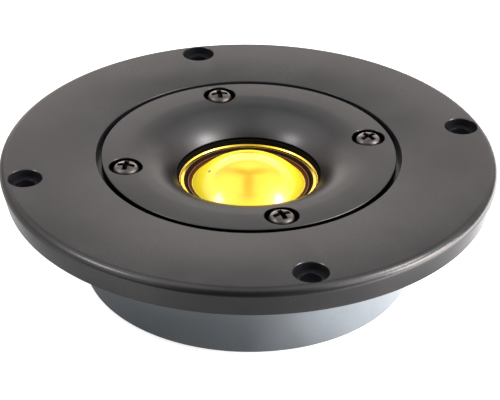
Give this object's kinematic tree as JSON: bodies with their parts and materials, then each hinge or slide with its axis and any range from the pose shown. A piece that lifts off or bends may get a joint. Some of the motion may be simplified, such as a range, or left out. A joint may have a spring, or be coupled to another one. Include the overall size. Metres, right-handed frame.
{
  "type": "car tweeter",
  "caption": "Round flange-mount dome tweeter: thick grey faceplate, screwed-in waveguide insert, gold dome with surround, steel magnet cup.",
  "frame": {"origin": "centre of the flange's rear mounting face, on the dome's axis", "axes": "+Z out of the dome towards the listener, +Y towards the terminals"},
  "size_m": [0.11, 0.11, 0.0285],
  "materials": {
    "front_aluminium": "satin dark grey, bead blasted",
    "insert_aluminium": "satin dark grey, turned",
    "nickel_screw": "smoked nickel",
    "gold_foil": "polished gold coating",
    "zinc_steel": "satin zinc plate",
    "ferrite": "matte",
    "copper": "bright",
    "tinned_brass": "satin tin plate",
    "black_plastic": "matte",
    "brown_film": "satin",
    "foam": "matte",
    "felt": "matte",
    "wire_sleeve": "matte"
  },
  "bodies": {
    "chassis": {"front_flange": "front_aluminium", "waveguide_insert": "insert_aluminium", "waveguide_screws": "nickel_screw", "spacer_gasket": "foam", "clamp_gasket": "foam", "diaphragm_frame": "black_plastic", "surround": "gold_foil", "top_plate": "zinc_steel", "magnet_ring": "ferrite", "back_plate": "zinc_steel", "pole_piece": "zinc_steel", "copper_cap": "copper", "damping_felt": "felt", "cup_pad": "foam", "magnet_cup": "zinc_steel", "terminal_block": "black_plastic", "terminal_positive": "tinned_brass", "terminal_negative": "tinned_brass", "lead_wire_positive": "wire_sleeve", "lead_wire_negative": "black_plastic", "contact_tag_positive": "tinned_brass", "contact_tag_negative": "tinned_brass", "coil_tail_positive": "copper", "coil_tail_negative": "copper"},
    "diaphragm": {"dome": "gold_foil", "voice_coil_former": "brown_film", "voice_coil": "copper"}
  },
  "joints": [
    {"name": "diaphragm_travel", "type": "slide", "parent": "chassis", "child": "diaphragm", "axis": [0, 0, 1], "range_m": [-0.0005, 0.0005], "stiffness_N_per_m": 4000, "deforming": ["surround", "coil_tail_positive", "coil_tail_negative"]}
  ]
}
